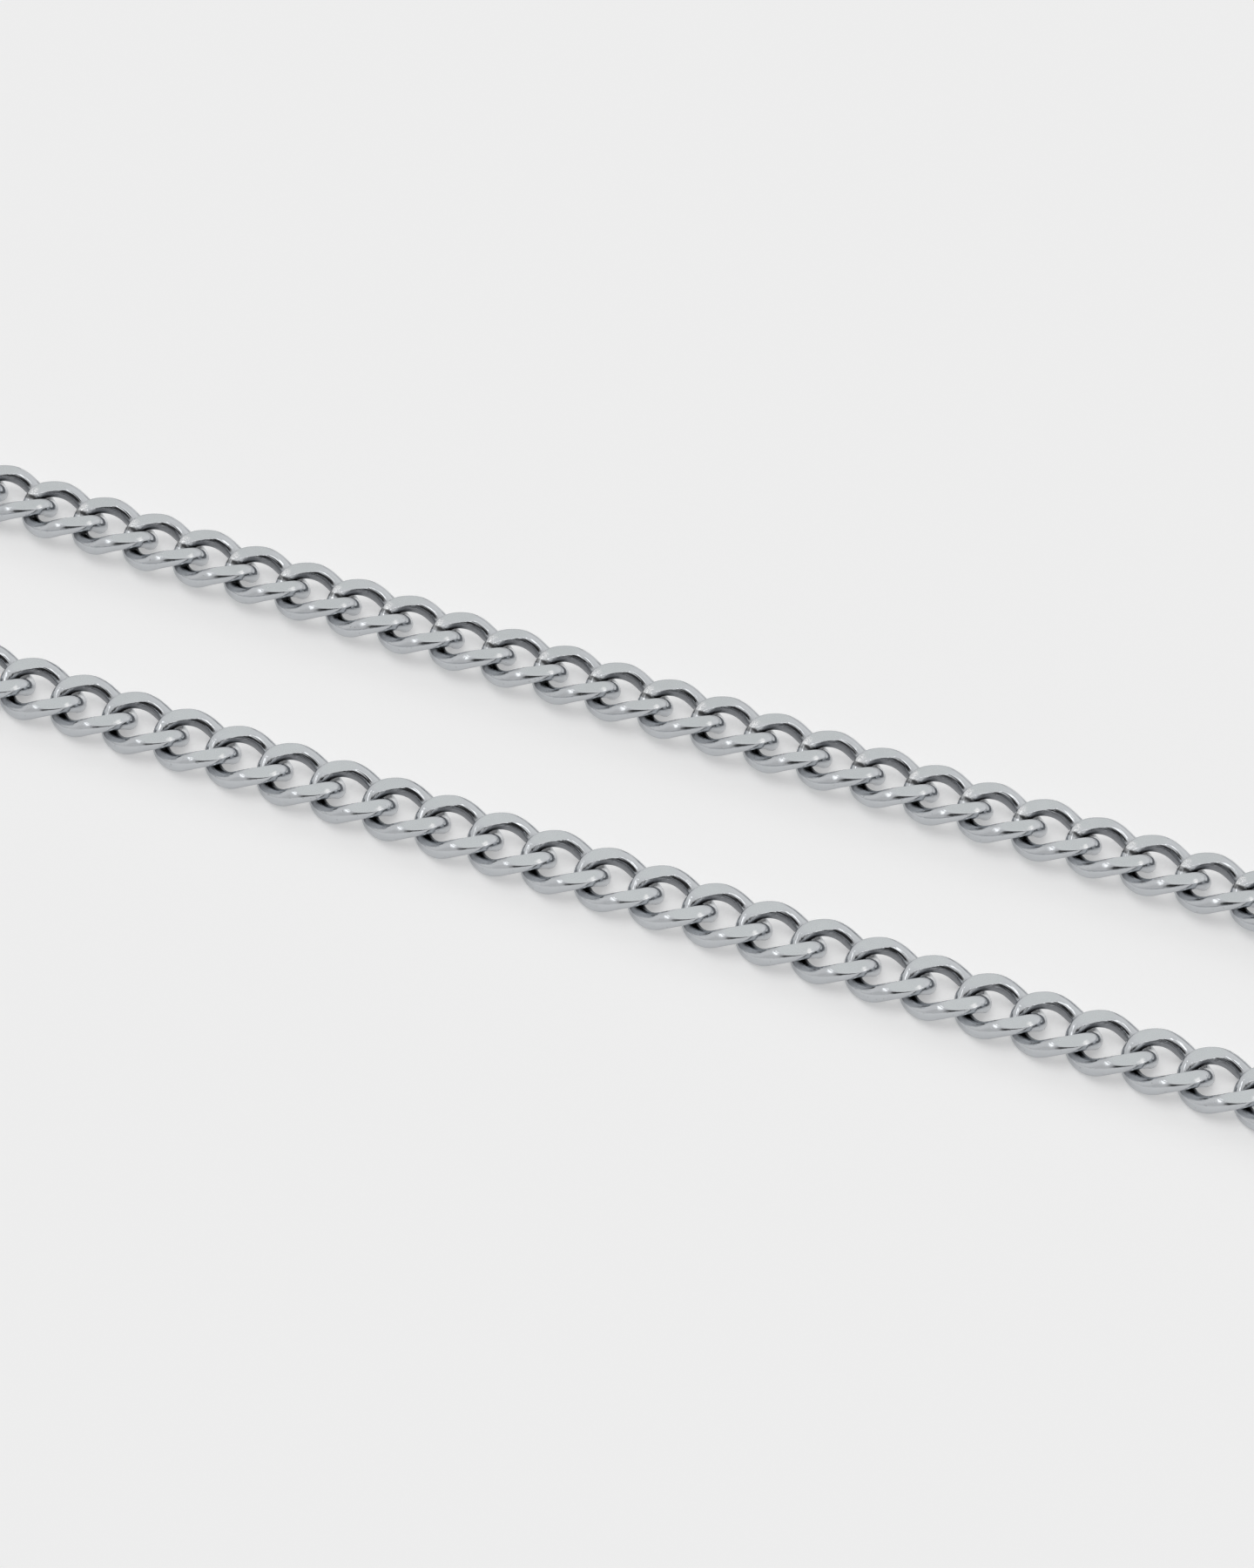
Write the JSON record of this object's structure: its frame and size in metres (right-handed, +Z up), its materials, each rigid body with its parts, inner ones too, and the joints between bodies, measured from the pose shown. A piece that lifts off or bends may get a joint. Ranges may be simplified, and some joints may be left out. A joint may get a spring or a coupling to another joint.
{
  "type": "cuban link chain necklace",
  "caption": "Flat-cut curb chain necklace of polished steel wire links, closed by a plain box clasp and laid out as one long loop.",
  "frame": {"origin": "on the surface the necklace lies on, under the middle of its bounding box", "axes": "+X along the two straight strands, away from the clasp; +Y from the near strand to the far strand; +Z up"},
  "size_m": [0.2205, 0.0611, 0.0022],
  "materials": {
    "chain_steel": "polished wire with fine-ground flat-cut faces",
    "clasp_steel": "polished"
  },
  "bodies": {
    "root": {"near_strand": "chain_steel", "far_strand": "chain_steel", "clasp": "clasp_steel"}
  },
  "joints": []
}
